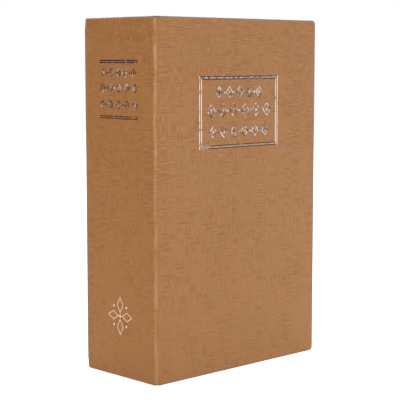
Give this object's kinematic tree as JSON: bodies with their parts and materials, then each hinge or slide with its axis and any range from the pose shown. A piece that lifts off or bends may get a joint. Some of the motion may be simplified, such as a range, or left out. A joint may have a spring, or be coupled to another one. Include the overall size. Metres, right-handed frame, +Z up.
{
  "type": "book diversion safe",
  "caption": "Upright hardback book whose cover opens onto a lidded steel box with a cam lock, set in a frame of false pages.",
  "frame": {"origin": "on the shelf, under the middle of the closed book: the centre of the bounding box's bottom face", "axes": "+Z up, from the book's tail to its head, along its longest extent; +Y from the front cover to the back cover, along its shortest extent; +X from the spine to the fore-edge"},
  "size_m": [0.115, 0.055, 0.18],
  "materials": {
    "cover_paper": "embossed tan leatherette paper, satin",
    "greyboard": "raw greyboard",
    "endpaper": "matt uncoated paper",
    "page_plastic": "matt moulded, cream",
    "black_steel": "black powder coat, fine texture",
    "bare_steel": "zinc-plated steel",
    "nickel": "nickel plate"
  },
  "bodies": {
    "book": {"back_board": "greyboard", "back_wrap": "cover_paper", "back_lining": "endpaper", "spine_board": "greyboard", "spine_wrap": "cover_paper", "spine_lining": "endpaper", "front_joint_strip": "cover_paper", "back_joint_strip": "cover_paper", "page_base": "page_plastic", "page_rail_tail": "page_plastic", "page_rail_fore": "page_plastic", "page_rail_head": "page_plastic", "page_rail_spine": "page_plastic", "steel_box": "black_steel", "box_screw_tail_spine": "bare_steel", "box_screw_tail_fore": "bare_steel", "box_screw_head_spine": "bare_steel", "box_screw_head_fore": "bare_steel", "catch_plate": "bare_steel", "catch_rivet_tail": "bare_steel", "catch_rivet_head": "bare_steel", "hinge_pin": "bare_steel"},
    "front_cover": {"front_board": "greyboard", "front_wrap": "cover_paper", "front_lining": "endpaper"},
    "lid": {"lid": "black_steel", "lock_housing": "nickel", "lock_washer": "bare_steel", "lock_nut": "nickel"},
    "lock_core": {"lock_plug": "nickel", "cam": "bare_steel", "cam_washer": "bare_steel", "cam_screw": "bare_steel"}
  },
  "joints": [
    {"name": "cover_hinge", "type": "hinge", "parent": "book", "child": "front_cover", "pos_m": [-0.0572, -0.0272, 0.09], "axis": [0, 0, -1], "range_deg": [0, 180], "deforming": ["front_joint_strip"]},
    {"name": "lid_hinge", "type": "hinge", "parent": "book", "child": "lid", "pos_m": [-0.05115, -0.02015, 0.09], "axis": [0, 0, -1], "range_deg": [0, 105]},
    {"name": "lock_turn", "type": "hinge", "parent": "lid", "child": "lock_core", "pos_m": [0.0344, -0.0221, 0.09], "axis": [0, 1, 0], "range_deg": [0, 90]}
  ],
  "couplings": [
    {"joint": "lid_hinge", "follows": "cover_hinge", "ratio": 0.58333}
  ]
}
